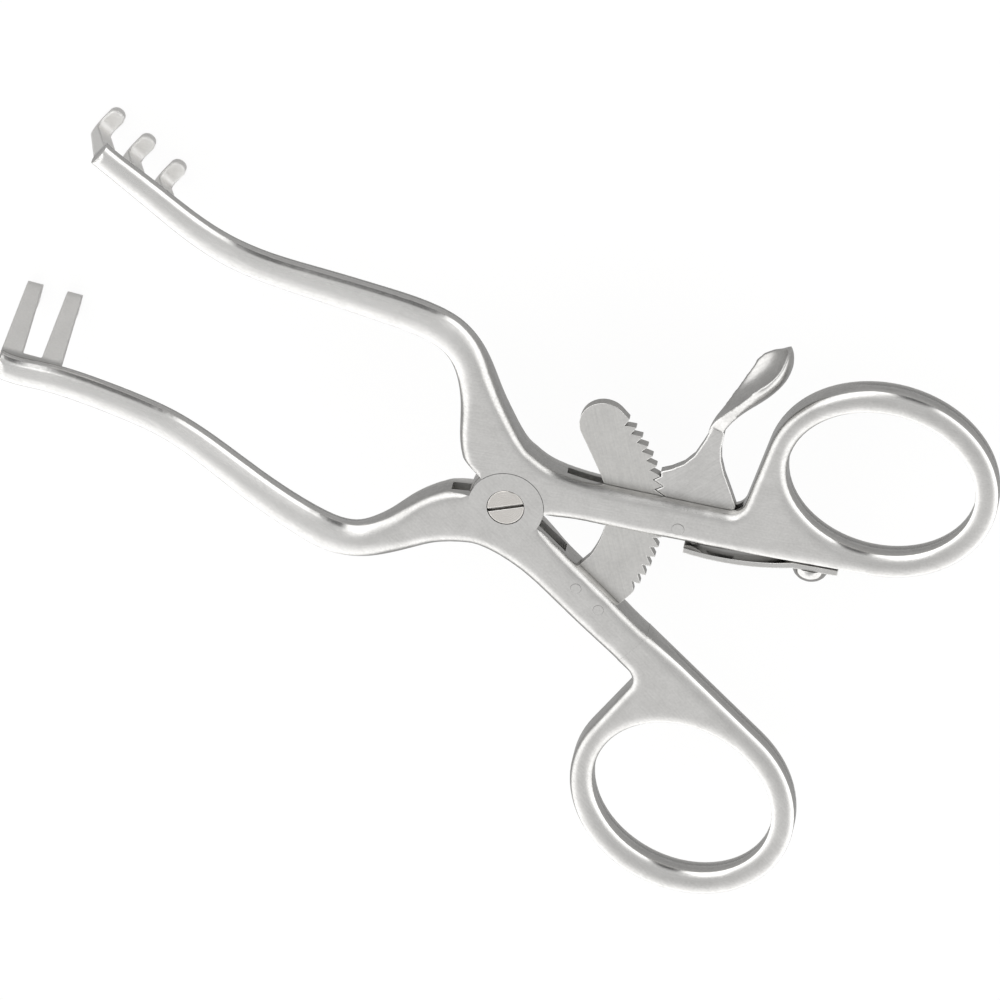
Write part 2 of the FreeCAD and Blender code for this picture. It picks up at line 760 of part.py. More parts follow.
def spring_seat():
    """The straight outer side of the upper ring's web: a point, the way along and outward."""
    low, enter_point = ring_entry("three")[:2]
    along = (enter_point - low).normalize()
    away = along.cross(UP)
    return low - along * low.dot(along), along, away


def spring_line():
    """The leaf spring's inner side: bowed away from the handle, then flat on its seat."""
    base, along, away = spring_seat()
    free = size("spring_free_end")
    fixed = size("spring_fixed_end")
    seat = size("spring_seat_start")
    gap = size("spring_contact_gap")

    def at(place, off):
        return base + along * place + away * off

    middle = (free + seat) / 2
    top = [at(free, size("spring_tip_gap")), at(middle, size("spring_bow")), at(seat, gap), at(fixed, gap)]
    return top, away * size("spring_thickness"), at, along, away


def make_leaf_spring():
    """A bowed strip on the handle's outer side."""
    top, step, at, along, away = spring_line()
    upper = Part.Arc(top[0], top[1], top[2])
    lower = Part.Arc(top[0] + step, top[1] + step, top[2] + step)
    body = doc.addObject("PartDesign::Body", "spring_strip")
    outline = sketch_on(body, "spring_outline", height="sizes.lever_thickness / 2")
    outline.addGeometry(
        [
            upper,
            Part.LineSegment(top[2], top[3]),
            Part.LineSegment(top[3], top[3] + step),
            Part.LineSegment(top[3] + step, top[2] + step),
            lower,
            Part.LineSegment(top[0] + step, top[0]),
        ],
        False,
    )
    pad = body.newObject("PartDesign::Pad", "spring_blank")
    pad.Profile = outline
    pad.Midplane = True
    bind(pad, Length="sizes.spring_width")
    body.Tip = pad
    return body


def revolved_body(name, profile):
    """A turned piece: its half profile (radius, height) turned about its body's Z axis."""
    body = doc.addObject("PartDesign::Body", name)
    half = sketch_on(body, f"{name}_profile", role="XZ_Plane")
    half.addGeometry(closed_lines([Vector(radius, height, 0) for radius, height in profile]), False)
    turned = body.newObject("PartDesign::Revolution", f"{name}_turned")
    turned.Profile = half
    turned.ReferenceAxis = (half, ["V_Axis"])
    turned.Angle = 360
    body.Tip = turned
    return body


def make_pivot_screw():
    """The joint screw: flush slotted head in the front cheek, shank through to the back."""
    gap = size("seat_gap")
    thickness = size("lever_thickness")
    head = size("screw_head_radius") - gap
    shank = size("screw_shank_radius") - gap
    shoulder = thickness - size("cheek_thickness")
    chamfer = 0.1
    profile = [
        (0, 0),
        (shank, 0),
        (shank, shoulder),
        (head, shoulder),
        (head, thickness - chamfer),
        (head - chamfer, thickness),
        (0, thickness),
    ]
    turned = revolved_body("pivot_screw_blank", profile)
    slot = doc.addObject("Part::Box", "pivot_screw_slot")
    bind(
        slot,
        Length="sizes.screw_head_radius * 2 + 1",
        Width="sizes.screw_slot_width",
        Height="sizes.screw_slot_depth + 1",
    )
    turn = FreeCAD.Rotation(UP, size("screw_slot_angle"))
    corner = Vector(-size("screw_head_radius") - 0.5, -size("screw_slot_width") / 2, 0)
    lift = UP * (thickness - size("screw_slot_depth"))
    slot.Placement = FreeCAD.Placement(turn.multVec(corner) + lift, turn)
    return boolean("Part::Cut", "pivot_screw", turned, slot)


def laid_box(name, corner, along, length, width, height):
    """A box whose edges run along a handle, across it and up, from its lowest corner."""
    made = doc.addObject("Part::Box", name)
    bind(made, Length=length, Width=width, Height=height)
    angle = math.degrees(math.atan2(along.y, along.x))
    made.Placement = FreeCAD.Placement(corner, FreeCAD.Rotation(UP, angle))
    return made


def make_three_prong_lever():
    """The upper lever: tongue between the cheeks, slot for ratchet bar and release lever."""
    thickness = size("lever_thickness")
    forging = feature("three_forging", lever_forging("three", 3))
    room = "sizes.disc_radius + sizes.running_gap"
    front = cylinder(
        "front_recess",
        room,
        "sizes.cheek_thickness + sizes.running_gap + 1",
        "sizes.lever_thickness - sizes.cheek_thickness - sizes.running_gap",
    )
    back = cylinder("back_recess", room, "sizes.cheek_thickness + sizes.running_gap + 1", "-1")
    recesses = boolean("Part::MultiFuse", "recesses", front, back)
    hollowed = boolean("Part::Cut", "three_hollowed", forging, recesses)
    tongue = cylinder(
        "tongue",
        "sizes.tongue_radius",
        "sizes.lever_thickness - 2 * (sizes.cheek_thickness + sizes.running_gap)",
        "sizes.cheek_thickness + sizes.running_gap",
    )
    joined = boolean("Part::MultiFuse", "three_joined", hollowed, tongue)
    bore = cylinder(
        "tongue_bore", "sizes.screw_shank_radius + sizes.running_gap", "sizes.lever_thickness + 2", "-1"
    )
    base, along, across, _ = handle_frame("three")
    slot_floor = (thickness - size("bar_thickness")) / 2 - size("lever_slot_gap")
    slot = laid_box(
        "lever_slot",
        base
        + along * size("lever_slot_start")
        - across * size("lever_slot_half_height")
        + UP * slot_floor,
        along,
        "sizes.lever_slot_end - sizes.lever_slot_start",
        "2 * sizes.lever_slot_half_height",
        "sizes.bar_thickness + 2 * sizes.lever_slot_gap",
    )
    pin_bore = cylinder(
        "release_pin_bore",
        "sizes.release_pin_radius",
        "sizes.lever_thickness + 2",
        "-1",
        "sizes.release_pin_x",
        "sizes.release_pin_y",
    )
    screw_bore = feature("spring_screw_bore", spring_screw_shank(0.0))
    tools = boolean("Part::MultiFuse", "three_tools", bore, slot, pin_bore, screw_bore)
    return boolean("Part::Cut", "three_prong_lever", joined, tools)


def make_two_prong_lever():
    """The lower lever: two cheeks that hold the tongue, and the ratchet bar's seat."""
    thickness = size("lever_thickness")
    forging = feature("two_forging", lever_forging("two", 2))
    disc = cylinder("cheek_disc", "sizes.disc_radius", "sizes.lever_thickness", "0")
    joined = boolean("Part::MultiFuse", "two_joined", forging, disc)
    fork = cylinder(
        "fork_slot",
        "sizes.tongue_radius + sizes.running_gap",
        "sizes.lever_thickness - 2 * sizes.cheek_thickness",
        "sizes.cheek_thickness",
    )
    side_point, along, across = two_handle_inner_side()
    slot_floor = UP * size("cheek_thickness")
    slot_depth = size("fork_slot_depth")
    slot_height = "sizes.lever_thickness - 2 * sizes.cheek_thickness"
    handle_run = laid_box(
        "fork_slot_handle",
        side_point + along - across * slot_depth + slot_floor,
        along,
        "sizes.fork_slot_reach_handle - 1",
        "2 * sizes.fork_slot_depth",
        slot_height,
    )
    arm_way = polar(1, -size("two_stop_angle"))
    arm_point = Vector(size("two_stop_x"), -size("two_stop_y"), 0)
    arm_foot = arm_point - arm_way * arm_point.dot(arm_way)
    arm_run = laid_box(
        "fork_slot_arm",
        arm_foot + arm_way * 2 - UP.cross(arm_way) * slot_depth + slot_floor,
        arm_way,
        "sizes.fork_slot_reach_arm - 2",
        "2 * sizes.fork_slot_depth",
        slot_height,
    )
    head_bore = cylinder(
        "head_bore",
        "sizes.screw_head_radius",
        "sizes.cheek_thickness + 1",
        "sizes.lever_thickness - sizes.cheek_thickness",
    )
    shank_bore = cylinder("shank_bore", "sizes.screw_shank_radius", "sizes.lever_thickness + 2", "-1")
    gap = size("seat_gap")
    seat = laid_box(
        "bar_seat",
        side_point
        + along * (size("tang_start") - gap)
        - across * (size("tang_depth") + gap)
        + UP * ((thickness - size("bar_thickness")) / 2 - gap),
        along,
        "sizes.tang_end - sizes.tang_start + 2 * sizes.seat_gap",
        "sizes.tang_depth + sizes.seat_gap + 3",
        "sizes.bar_thickness + 2 * sizes.seat_gap",
    )
    rivets = [
        cylinder_at(f"rivet_bore_{index}", place, "sizes.rivet_radius", "sizes.lever_thickness + 2", "-1")
        for index, place in enumerate(rivet_places())
    ]
    runs = (fork, handle_run, arm_run)
    tools = boolean("Part::MultiFuse", "two_tools", *runs, head_bore, shank_bore, seat, *rivets)
    return boolean("Part::Cut", "two_prong_lever", joined, tools)


def cylinder_at(name, place, radius, height, base_z):
    """A cylinder along Z at a worked-out place."""
    made = cylinder(name, radius, height, base_z)
    made.setExpression("Placement.Base.x", None)
    made.setExpression("Placement.Base.y", None)
    made.Placement.Base = Vector(place.x, place.y, made.Placement.Base.z)
    return made


def rivet_places():
    """Two rivets through the tang, set in from its ends."""
    side_point, along, across = two_handle_inner_side()
    inset = 1.4
    down = across * (-size("tang_depth") / 2 - 0.15)
    first = side_point + along * (size("tang_start") + inset) + down
    last = side_point + along * (size("tang_end") - inset) + down
    return [first, last]


def spring_screw_shank(gap):
    """The spring screw's shank, which runs into the handle's outer side."""
    _, _, at, along, away = spring_line()
    place = size("spring_screw_along")
    start = at(place, 1.2) + UP * (size("lever_thickness") / 2)
    radius = size("spring_screw_shank_radius") - gap
    return Part.makeCylinder(radius, size("spring_screw_length") + 1.25, start, away * -1)


def spring_screw_frame():
    """Where the screw's head bears on the spring, and the way it points."""
    top, step, at, along, away = spring_line()
    place = size("spring_screw_along")
    return at(place, 0), along, away, step.Length


def make_spring_screw():
    """A round-head screw, turned, then laid across the handle."""
    thick = size("spring_thickness")
    head_radius = size("spring_screw_head_radius")
    head_height = size("spring_screw_head_height")
    rim = size("spring_screw_rim")
    gap = size("seat_gap")
    shank = size("spring_screw_shank_radius") - gap
    seat = size("spring_contact_gap") + thick
    steps = 6
    dome = []
    for index in range(steps + 1):
        turn = math.pi / 2 * index / steps
        rise = rim + (head_height - rim) * math.sin(turn)
        dome.append((head_radius * math.cos(turn), seat + gap + rise))
    point = -size("spring_screw_length")
    profile = [(0, point), (shank, point), (shank, seat + gap), (head_radius, seat + gap), *dome]
    body = revolved_body("spring_screw", profile)
    start, along, away, _ = spring_screw_frame()
    turn = FreeCAD.Rotation(UP, away)
    body.Placement = FreeCAD.Placement(start + UP * (size("lever_thickness") / 2), turn)
    return body


def make_ratchet_pins():
    """The two rivets that hold the ratchet bar's tang in the handle."""
    radius = "sizes.rivet_radius - sizes.seat_gap"
    rivets = [
        cylinder_at(f"rivet_{index}", place, radius, "sizes.lever_thickness", "0")
        for index, place in enumerate(rivet_places())
    ]
    return boolean("Part::MultiFuse", "ratchet_pins", *rivets)


def make_release_lever():
    """Pawl plate and thumb pad in one piece."""
    pad = feature("thumb_pad", thumb_pad())
    return boolean("Part::MultiFuse", "release_lever", make_release_plate(), pad)


def make_release_pin():
    """The pin that the release lever turns on."""
    return cylinder(
        "release_lever_pin",
        "sizes.release_pin_radius - sizes.seat_gap",
        "sizes.lever_thickness",
        "0",
        "sizes.release_pin_x",
        "sizes.release_pin_y",
    )


def make_spring():
    """The leaf spring with its screw hole."""
    strip = make_leaf_spring()
    hole = feature("spring_hole", spring_screw_shank(-size("running_gap")))
    return boolean("Part::Cut", "leaf_spring", strip, hole)


def build():
    """Make every piece and give it its name."""
    fill_sheet()
    pieces = {
        "three_prong_lever": make_three_prong_lever(),
        "two_prong_lever": make_two_prong_lever(),
        "pivot_screw": make_pivot_screw(),
        "ratchet_bar": make_ratchet_bar(),
        "ratchet_pins": make_ratchet_pins(),
        "release_lever": make_release_lever(),
        "release_lever_pin": make_release_pin(),
        "leaf_spring": make_spring(),
        "spring_screw": make_spring_screw(),
    }
    return pieces


def main():
    """Build, check and export every piece."""
    pieces = build()
    doc.recompute()
    faults = []
    for thing in doc.Objects:
        shape = getattr(thing, "Shape", None)
        if "Invalid" in thing.State or "Error" in thing.State:
            faults.append(f"{thing.Name}: {thing.State}")
        elif shape is not None and not shape.isNull() and not shape.isValid():
            faults.append(f"{thing.Name}: invalid shape")
    if faults:
        raise SystemExit("\n".join(faults))
    os.makedirs("parts", exist_ok=True)
    for name, piece in pieces.items():
        piece.Label = name
        shape = piece.Shape
        print(name, round(shape.Volume, 2), len(shape.Solids), shape.BoundBox)
        shape.exportStep(f"parts/{name}.step")


if __name__ == "__main__":
    main()
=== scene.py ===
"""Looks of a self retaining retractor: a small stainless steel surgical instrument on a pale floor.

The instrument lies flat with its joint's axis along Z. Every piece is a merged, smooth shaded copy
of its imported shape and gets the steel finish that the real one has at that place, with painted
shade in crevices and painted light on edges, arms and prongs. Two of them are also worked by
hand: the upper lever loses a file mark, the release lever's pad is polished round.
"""

import logging
import math
from dataclasses import dataclass, field
from enum import Enum

import bmesh
import bpy
import numpy as np
from mathutils import Matrix, Vector

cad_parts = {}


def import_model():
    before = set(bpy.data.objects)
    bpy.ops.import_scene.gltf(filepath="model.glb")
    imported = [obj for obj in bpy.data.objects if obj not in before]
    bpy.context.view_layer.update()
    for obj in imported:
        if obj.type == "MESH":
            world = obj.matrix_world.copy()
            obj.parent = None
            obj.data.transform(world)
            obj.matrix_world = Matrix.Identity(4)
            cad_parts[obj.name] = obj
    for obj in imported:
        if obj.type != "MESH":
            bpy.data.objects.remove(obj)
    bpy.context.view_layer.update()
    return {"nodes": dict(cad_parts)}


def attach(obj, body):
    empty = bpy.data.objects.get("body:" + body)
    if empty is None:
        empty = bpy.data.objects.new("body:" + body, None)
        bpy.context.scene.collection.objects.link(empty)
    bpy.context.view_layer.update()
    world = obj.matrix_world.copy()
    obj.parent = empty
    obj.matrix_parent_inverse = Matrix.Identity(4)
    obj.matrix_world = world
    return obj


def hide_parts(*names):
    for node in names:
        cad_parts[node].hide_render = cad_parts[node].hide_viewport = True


LOG = logging.getLogger("retractor")
MM = 0.001
# Distance between the wave texture's rings at scale 1.
RING_SPACING = 0.314
# Sums of grain, mottling and specks that give the darker and the lighter grey.
TONE_LOW = 0.9
TONE_HIGH = 2.1


def linear(hex_colour: str) -> tuple[float, float, float, float]:
    """Turn an sRGB hex colour into linear light.

    Args:
        hex_colour: six hex digits after a hash sign.

    Returns:
        Red, green, blue and an alpha of 1, each from 0 to 1.
    """
    channels = [int(hex_colour[start : start + 2], 16) / 255 for start in (1, 3, 5)]
    lit = [c / 12.92 if c <= 0.04045 else ((c + 0.055) / 1.055) ** 2.4 for c in channels]
    return (lit[0], lit[1], lit[2], 1.0)


def add_node(
    tree: bpy.types.NodeTree, kind: str, inputs: dict | None = None, **settings: object
) -> bpy.types.Node:
    """Add a node, set its properties and fill or link its inputs.

    Args:
        tree: the node tree that takes the node.
        kind: the node's type name.
        inputs: value or output socket by input name or number.
        **settings: properties of the node itself.

    Returns:
        The new node.
    """
    node = tree.nodes.new(kind)
    for name, value in settings.items():
        setattr(node, name, value)
    for key, value in (inputs or {}).items():
        if isinstance(value, bpy.types.NodeSocket):
            tree.links.new(value, node.inputs[key])
        else:
            node.inputs[key].default_value = value
    return node


class Grain(Enum):
    """How the last polishing step left its marks."""

    BRUSHED = "long fine scratches in one direction"
    BLASTED = "even specks from glass beads"
    TURNED = "rings about the joint's axis"


@dataclass(frozen=True)
class SteelFinish:
    """Stainless steel as one polishing method leaves it.

    Sizes are in millimetres. Faces that lie flat are ground and keep the grain, rounded ones are
    polished by hand on a soft wheel and are smoother. A real ground grain is about 0.02 mm wide
    and a blasted speck about 0.05 mm, and a pixel is 0.11 mm, so grain_width and speck_size are
    as coarse as they need to be to show.
    """

    name: str
    colour: str = "#CFCECC"
    shade: str = "#B4B3B1"
    # Colour of the painted shade in crevices and close to other parts.
    crevice_shade: str = "#3A3835"
    flat_roughness: float = 0.34
    round_roughness: float = 0.22
    roughness_spread: float = 0.08
    grain: Grain = Grain.BRUSHED
    grain_angle: float = 0.0
    grain_width: float = 0.16
    grain_length: float = 3.5
    grain_height: float = 0.0006
    mottle_size: float = 1.8
    speck_size: float = 0.28
    crevice_reach: float = 0.45
    round_over: float = 0.12
    arm_round_over: float = 0.12
    ring_round_over: float = 0.12
    arm_start: float = -9.0
    ring_start: float = 29.0
    blend: float = 6.0
    crown_arm: float = 0.0
    crown_ring: float = 0.0
    mid_height: float = 2.1
    window_half: float = -1.0
    edge_gain: float = 1.0
    arm_gain: float = 1.0
    # Share of painted sheen that lightens the arms.
    arm_light: float = 0.0
    crisp_spots: tuple[tuple[float, float, float], ...] = ()
    crisp_fade: float = 0.6
    window_fade: float = 0.4
    flat_from: float = 0.93
    flat_to: float = 0.998
    # Occlusion levels where the painted crevice shade is full and where it is gone.
    crevice_shade_below: float = 0.12
    unshaded_above: float = 0.62
    round_grain: float = 0.25
    # Rounded edges are smoother from wear and painted brighter in this colour, a painted highlight.
    edge_highlight_colour: str = "#E4E3E1"
    wear_and_highlight_from: float = 0.995
    wear_and_highlight_to: float = 0.86
    wear_and_highlight_share: float = 0.7
    worn_polish: float = 0.08
    blasted_prongs: bool = False
    frost_start: float = 1.7
    frost_full: float = 0.5
    # Painted light: the prongs and the arms are lightened toward this colour.
    painted_light_colour: str = "#F2F1EF"
    prong_light_share: float = 0.6
    frost_roughness: float = 0.62
    frost_round_over: float = 0.15

    def material(self) -> bpy.types.Material:
        """Make the finish as a node material on Object coordinates.

        The colour is a mix of two greys by grain, specks and soft mottling. Painted shade
        darkens it in crevices and close to other parts, by ambient occlusion. Edges are smoother
        from wear and painted brighter as a highlight, the arms get a painted sheen, and the
        prongs, frosted by the glass beads, are painted lighter as if they caught more light.

        Returns:
            The material.
        """
        made = bpy.data.materials.new(self.name)
        made.use_nodes = True
        tree = made.node_tree
        tree.nodes.clear()
        place = add_node(tree, "ShaderNodeTexCoord")
        spot = place.outputs["Object"]
        axes = add_node(tree, "ShaderNodeSeparateXYZ", {"Vector": spot})
        blasted = add_node(
            tree,
            "ShaderNodeMapRange",
            {
                "Value": axes.outputs["Z"],
                "From Min": self.frost_start * MM,
                "From Max": self.frost_full * MM,
                "To Max": float(self.blasted_prongs),
            },
        ).outputs["Result"]
        rounded = self._rounded(tree, spot, axes.outputs["X"], blasted)
        grain = self._grain(tree, spot)
        mottle = add_node(
            tree,
            "ShaderNodeTexNoise",
            {"Vector": spot, "Scale": 1 / (self.mottle_size * MM), "Detail": 2.0},
        ).outputs["Fac"]
        speck = add_node(
            tree,
            "ShaderNodeTexNoise",
            {"Vector": spot, "Scale": 1 / (self.speck_size * MM), "Detail": 1.0},
        ).outputs["Fac"]
        level = add_node(tree, "ShaderNodeSeparateXYZ", {"Vector": rounded})
        tilt = add_node(tree, "ShaderNodeMath", {0: level.outputs["Z"]}, operation="ABSOLUTE")
        flat = add_node(
            tree,
            "ShaderNodeMapRange",
            {"Value": tilt.outputs[0], "From Min": self.flat_from, "From Max": self.flat_to},
        ).outputs["Result"]
        tone = self._tone(tree, grain, mottle, speck)
        # Painted shade: occlusion darkens crevices and faces near other parts.
        crevice = add_node(
            tree,
            "ShaderNodeAmbientOcclusion",
            {"Distance": self.crevice_reach * MM},
            samples=6,
        ).outputs["AO"]
        unshaded = add_node(
            tree,
            "ShaderNodeMapRange",
            {"Value": crevice, "From Min": self.crevice_shade_below, "From Max": self.unshaded_above},
        ).outputs["Result"]
        colour = add_node(
            tree,
            "ShaderNodeMix",
            {"Factor": tone, 6: linear(self.shade), 7: linear(self.colour)},
            data_type="RGBA",
        ).outputs[2]
        crevice_shaded = add_node(
            tree,
            "ShaderNodeMix",
            {"Factor": unshaded, 6: linear(self.crevice_shade), 7: colour},
            data_type="RGBA",
        ).outputs[2]
        # Painted highlight: rounded edges are lightened; the same share makes them smoother, as
        # wear does.
        wear_and_highlight = self._edge_wear_and_highlight(tree, rounded)
        bright = add_node(
            tree,
            "ShaderNodeMix",
            {"Factor": wear_and_highlight, 6: crevice_shaded, 7: linear(self.edge_highlight_colour)},
            data_type="RGBA",
        ).outputs[2]
        # Painted light: the bead blasted prongs and the arms are lightened as if they caught more
        # light.
        prong_light = add_node(
            tree, "ShaderNodeMath", {0: blasted, 1: self.prong_light_share}, operation="MULTIPLY"
        ).outputs[0]
        arm_sheen = add_node(
            tree,
            "ShaderNodeMapRange",
            {
                "Value": axes.outputs["X"],
                "From Min": self.arm_start * MM,
                "From Max": (self.arm_start - self.blend) * MM,
                "To Max": self.arm_light,
            },
        ).outputs["Result"]
        pale = add_node(
            tree, "ShaderNodeMath", {0: prong_light, 1: arm_sheen}, operation="MAXIMUM"
        ).outputs[0]
        bright = add_node(
            tree,
            "ShaderNodeMix",
            {"Factor": pale, 6: bright, 7: linear(self.painted_light_colour)},
            data_type="RGBA",
        ).outputs[2]
        polished = self._gloss(tree, flat, tone, wear_and_highlight)
        gloss = add_node(
            tree,
            "ShaderNodeMix",
            {0: blasted, 2: polished, 3: self.frost_roughness},
            data_type="FLOAT",
        ).outputs[0]
        height = add_node(
            tree,
            "ShaderNodeMath",
            {0: grain, 1: flat, 2: self.round_grain},
            operation="MULTIPLY_ADD",
        ).outputs[0]
        bump = add_node(
            tree,
            "ShaderNodeBump",
            {
                "Height": height,
                "Distance": self.grain_height * MM,
                "Strength": 1.0,
                "Normal": rounded,
            },
        )
        shader = add_node(
            tree,
            "ShaderNodeBsdfPrincipled",
            {
                "Base Color": bright,
                "Metallic": 1.0,
                "Roughness": gloss,
                "Normal": bump.outputs["Normal"],
            },
        )
        add_node(tree, "ShaderNodeOutputMaterial", {"Surface": shader.outputs["BSDF"]})
        return made

    def _grain(
        self, tree: bpy.types.NodeTree, spot: bpy.types.NodeSocket
    ) -> bpy.types.NodeSocket:
        """Grain from 0 to 1: noise stretched along the brushing, even specks, or turned rings.

        Args:
            tree: the material's node tree.
            spot: Object coordinates.

        Returns:
            The grain's output.
        """
        if self.grain is Grain.TURNED:
            return add_node(
                tree,
                "ShaderNodeTexWave",
                {
                    "Vector": spot,
                    "Scale": RING_SPACING / (self.grain_width * MM),
                    "Distortion": 0.6,
                    "Detail": 2.0,
                },
                wave_type="RINGS",
                rings_direction="Z",
            ).outputs["Fac"]
        along = self.grain_length if self.grain is Grain.BRUSHED else self.grain_width
        turned = add_node(
            tree,
            "ShaderNodeMapping",
            {
                "Vector": spot,
                "Rotation": (0.0, 0.0, -math.radians(self.grain_angle)),
            },
        )
        stretched = add_node(
            tree,
            "ShaderNodeVectorMath",
            {
                0: turned.outputs["Vector"],
                1: (1 / (along * MM), 1 / (self.grain_width * MM), 1 / (self.grain_width * MM)),
            },
            operation="MULTIPLY",
        )
        return add_node(
            tree,
            "ShaderNodeTexNoise",
            {"Vector": stretched.outputs["Vector"], "Scale": 1.0, "Detail": 3.0},
        ).outputs["Fac"]

    def _tone(
        self,
        tree: bpy.types.NodeTree,
        grain: bpy.types.NodeSocket,
        mottle: bpy.types.NodeSocket,
        speck: bpy.types.NodeSocket,
    ) -> bpy.types.NodeSocket:
        """Where between the two greys a spot lies: the mean of grain, mottling and specks.

        Args:
            tree: the material's node tree.
            grain: the grain from 0 to 1.
            mottle: soft clouds from 0 to 1.
            speck: small specks from 0 to 1.

        Returns:
            The tone from 0 to 1.
        """
        pair = add_node(tree, "ShaderNodeMath", {0: grain, 1: mottle}, operation="ADD")
        total = add_node(tree, "ShaderNodeMath", {0: pair.outputs[0], 1: speck}, operation="ADD")
        return add_node(
            tree,
            "ShaderNodeMapRange",
            {"Value": total.outputs[0], "From Min": TONE_LOW, "From Max": TONE_HIGH},
        ).outputs["Result"]

    def _rounded(
        self,
        tree: bpy.types.NodeTree,
        spot: bpy.types.NodeSocket,
        along: bpy.types.NodeSocket,
        blasted: bpy.types.NodeSocket,
    ) -> bpy.types.NodeSocket:
        """Normal of the hand rounded surface, whose edges are softest on the arms and rings.

        Round the joint and the rivets the ground face stays crisp, and so do the thin prongs. The
        turn away from the true normal is multiplied by a gain, because an arm is too narrow for
        its edges to reach their full turn.

        Args:
            tree: the material's node tree.
            spot: Object coordinates.
            along: the X coordinate, from the prongs to the rings.
            blasted: 1 on the bead blasted prongs, 0 elsewhere.

        Returns:
            The normal's output.
        """
        toward_arm = add_node(
            tree,
            "ShaderNodeMapRange",
            {
                "Value": along,
                "From Min": self.arm_start * MM,
                "From Max": (self.arm_start - self.blend) * MM,
                "To Min": self.round_over * MM,
                "To Max": self.arm_round_over * MM,
            },
        )
        toward_ring = add_node(
            tree,
            "ShaderNodeMapRange",
            {
                "Value": along,
                "From Min": (self.ring_start - self.blend) * MM,
                "From Max": self.ring_start * MM,
                "To Min": 0.0,
                "To Max": (self.ring_round_over - self.round_over) * MM,
            },
        )
        reach = add_node(
            tree,
            "ShaderNodeMath",
            {0: toward_arm.outputs["Result"], 1: toward_ring.outputs["Result"]},
            operation="ADD",
        ).outputs[0]
        softness = add_node(
            tree,
            "ShaderNodeMapRange",
            {"Value": blasted, "To Min": 1.0, "To Max": self.frost_round_over},
        ).outputs["Result"]
        reach = add_node(
            tree, "ShaderNodeMath", {0: reach, 1: softness}, operation="MULTIPLY"
        ).outputs[0]
        level_spot = add_node(
            tree, "ShaderNodeVectorMath", {0: spot, 1: (1.0, 1.0, 0.0)}, operation="MULTIPLY"
        ).outputs["Vector"]
        for x, y, radius in self.crisp_spots:
            distance = add_node(
                tree,
                "ShaderNodeVectorMath",
                {0: level_spot, 1: (x * MM, y * MM, 0.0)},
                operation="DISTANCE",
            ).outputs["Value"]
            outside = add_node(
                tree,
                "ShaderNodeMapRange",
                {
                    "Value": distance,
                    "From Min": radius * MM,
                    "From Max": (radius + self.crisp_fade) * MM,
                },
            ).outputs["Result"]
            reach = add_node(
                tree, "ShaderNodeMath", {0: reach, 1: outside}, operation="MULTIPLY"
            ).outputs[0]
        off_middle = self._off_middle(tree, spot)
        reach = add_node(
            tree, "ShaderNodeMath", {0: reach, 1: off_middle}, operation="MULTIPLY"
        ).outputs[0]
        soft = add_node(tree, "ShaderNodeBevel", {"Radius": reach}, samples=12).outputs["Normal"]
        true = add_node(tree, "ShaderNodeNewGeometry").outputs["Normal"]
        turn = add_node(
            tree, "ShaderNodeVectorMath", {0: soft, 1: true}, operation="SUBTRACT"
        ).outputs["Vector"]
        gain = add_node(
            tree,
            "ShaderNodeMapRange",
            {
                "Value": along,
                "From Min": self.arm_start * MM,
                "From Max": (self.arm_start - self.blend) * MM,
                "To Min": self.edge_gain,
                "To Max": self.arm_gain,
            },
        ).outputs["Result"]
        turn = add_node(
            tree, "ShaderNodeVectorMath", {0: turn, "Scale": gain}, operation="SCALE"
        ).outputs["Vector"]
        soft = add_node(
            tree, "ShaderNodeVectorMath", {0: true, 1: turn}, operation="ADD"
        ).outputs["Vector"]
        return self._crowned(tree, soft, spot, along, blasted)

    def _off_middle(
        self, tree: bpy.types.NodeTree, spot: bpy.types.NodeSocket
    ) -> bpy.types.NodeSocket:
        """Share that is 0 at mid height, where the joint's windows lie, and 1 at both faces.

        Args:
            tree: the material's node tree.
            spot: Object coordinates.

        Returns:
            The share's output.
        """
        height = add_node(tree, "ShaderNodeSeparateXYZ", {"Vector": spot}).outputs["Z"]
        middle = add_node(
            tree, "ShaderNodeMath", {0: height, 1: self.mid_height * MM}, operation="SUBTRACT"
        ).outputs[0]
        away = add_node(tree, "ShaderNodeMath", {0: middle}, operation="ABSOLUTE").outputs[0]
        return add_node(
            tree,
            "ShaderNodeMapRange",
            {
                "Value": away,
                "From Min": self.window_half * MM,
                "From Max": (self.window_half + self.window_fade) * MM,
            },
        ).outputs["Result"]

